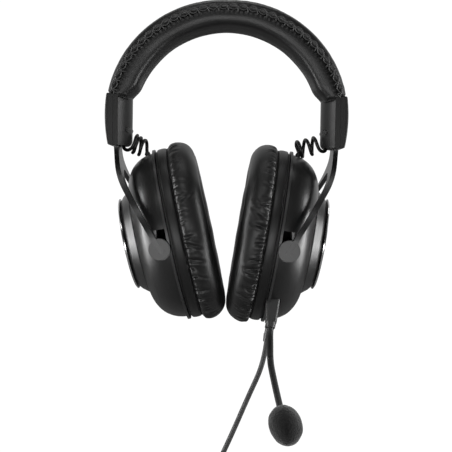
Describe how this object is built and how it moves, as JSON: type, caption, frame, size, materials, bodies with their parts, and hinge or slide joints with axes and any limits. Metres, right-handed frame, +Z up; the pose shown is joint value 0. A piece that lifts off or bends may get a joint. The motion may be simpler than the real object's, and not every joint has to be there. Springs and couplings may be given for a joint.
{
  "type": "gaming headset",
  "caption": "Over-ear gaming headset: padded sprung headband, forked swivelling cups, coiled side leads, bendable boom microphone and detachable cable.",
  "frame": {"origin": "underside of the headband pad at the crown, where the band rests on the head, on the left-right mid-plane", "axes": "+X to the wearer's left (the cup with the microphone), -Y forward the way the wearer faces, +Z up"},
  "size_m": [0.1436, 0.1591, 0.3564],
  "materials": {
    "cover_leather": "satin grained",
    "pad_leather": "satin smooth",
    "ear_leather": "satin smooth, wrinkled",
    "spring_steel": "satin",
    "housing_plastic": "satin",
    "fork_metal": "satin",
    "cap_plastic": "satin",
    "shell_plastic": "glossy",
    "trim_metal": "satin",
    "disc_metal": "turned",
    "baffle_plastic": "matte",
    "screw_steel": "satin",
    "magnet_steel": "satin",
    "driver_plastic": "matte",
    "diaphragm_film": "glossy",
    "scrim_cloth": "woven",
    "foam": "open-cell foam, matte",
    "boom_plastic": "satin",
    "cord_rubber": "matte",
    "plug_plastic": "satin",
    "contact_brass": "polished",
    "board": "matte"
  },
  "bodies": {
    "headband": {"headband_cover": "cover_leather", "headband_spring_band": "spring_steel", "headband_pad": "pad_leather", "crossover_lead": "cord_rubber", "housing_outer_left": "housing_plastic", "housing_inner_left": "housing_plastic", "housing_screws_left": "screw_steel", "detent_leaf_left": "spring_steel", "coiled_lead_left": "cord_rubber", "housing_outer_right": "housing_plastic", "housing_inner_right": "housing_plastic", "housing_screws_right": "screw_steel", "detent_leaf_right": "spring_steel", "coiled_lead_right": "cord_rubber"},
    "slider_left": {"slider_strip_left": "spring_steel"},
    "yoke_left": {"fork_left": "fork_metal", "swivel_pin_left": "screw_steel", "pivot_caps_left": "cap_plastic", "pivot_pins_left": "screw_steel"},
    "cup_left": {"cup_shell_left": "shell_plastic", "trim_ring_left": "trim_metal", "baffle_left": "baffle_plastic", "cup_screws_left": "screw_steel", "driver_frame_left": "driver_plastic", "driver_magnet_left": "magnet_steel", "driver_diaphragm_left": "diaphragm_film", "driver_scrim_left": "scrim_cloth", "ear_pad_left": "ear_leather", "outer_disc_left": "disc_metal", "lead_gland_left": "cord_rubber", "mic_socket": "plug_plastic", "audio_board": "board", "cable_plug": "plug_plastic", "cord": "cord_rubber", "cord_coil": "cord_rubber", "coil_tie": "cord_rubber", "audio_plug_body": "plug_plastic", "audio_plug_jack": "contact_brass"},
    "slider_right": {"slider_strip_right": "spring_steel"},
    "yoke_right": {"fork_right": "fork_metal", "swivel_pin_right": "screw_steel", "pivot_caps_right": "cap_plastic", "pivot_pins_right": "screw_steel"},
    "cup_right": {"cup_shell_right": "shell_plastic", "trim_ring_right": "trim_metal", "baffle_right": "baffle_plastic", "cup_screws_right": "screw_steel", "driver_frame_right": "driver_plastic", "driver_magnet_right": "magnet_steel", "driver_diaphragm_right": "diaphragm_film", "driver_scrim_right": "scrim_cloth", "ear_pad_right": "ear_leather", "outer_disc_right": "disc_metal", "lead_gland_right": "cord_rubber"},
    "mic_base": {"mic_plug": "plug_plastic", "mic_boom_lower": "boom_plastic"},
    "mic_mid": {"mic_boom_middle": "boom_plastic"},
    "mic_tip": {"mic_boom_upper": "boom_plastic", "mic_capsule": "magnet_steel", "mic_foam": "foam"}
  },
  "joints": [
    {"name": "left_extend", "type": "slide", "parent": "headband", "child": "slider_left", "axis": [0, 0, -1], "range_m": [0, 0.028], "deforming": ["coiled_lead_left"]},
    {"name": "left_swivel", "type": "hinge", "parent": "slider_left", "child": "yoke_left", "pos_m": [0.0655, 0, -0.0712], "axis": [0, 0, -1], "range_deg": [-4, 4], "deforming": ["coiled_lead_left"]},
    {"name": "left_tilt", "type": "hinge", "parent": "yoke_left", "child": "cup_left", "pos_m": [0.0366, 0, -0.1304], "axis": [0, -1, 0], "range_deg": [0, 16], "deforming": ["coiled_lead_left"]},
    {"name": "right_extend", "type": "slide", "parent": "headband", "child": "slider_right", "axis": [0, 0, -1], "range_m": [0, 0.028], "deforming": ["coiled_lead_right"]},
    {"name": "right_swivel", "type": "hinge", "parent": "slider_right", "child": "yoke_right", "pos_m": [-0.0655, 0, -0.0712], "axis": [0, 0, 1], "range_deg": [-4, 4], "deforming": ["coiled_lead_right"]},
    {"name": "right_tilt", "type": "hinge", "parent": "yoke_right", "child": "cup_right", "pos_m": [-0.0366, 0, -0.1304], "axis": [0, 1, 0], "range_deg": [0, 16], "deforming": ["coiled_lead_right"]},
    {"name": "mic_unplug", "type": "slide", "parent": "cup_left", "child": "mic_base", "axis": [-0.088, -0.4201, -0.9032], "range_m": [0, 0.016]},
    {"name": "mic_bend_lower", "type": "hinge", "parent": "mic_base", "child": "mic_mid", "pos_m": [0.0267, -0.043, -0.1828], "axis": [1, 0, 0], "range_deg": [-40, 40]},
    {"name": "mic_bend_upper", "type": "hinge", "parent": "mic_mid", "child": "mic_tip", "pos_m": [0.0275, -0.068, -0.1973], "axis": [0, -0.3712, 0.9286], "range_deg": [-40, 40]}
  ]
}
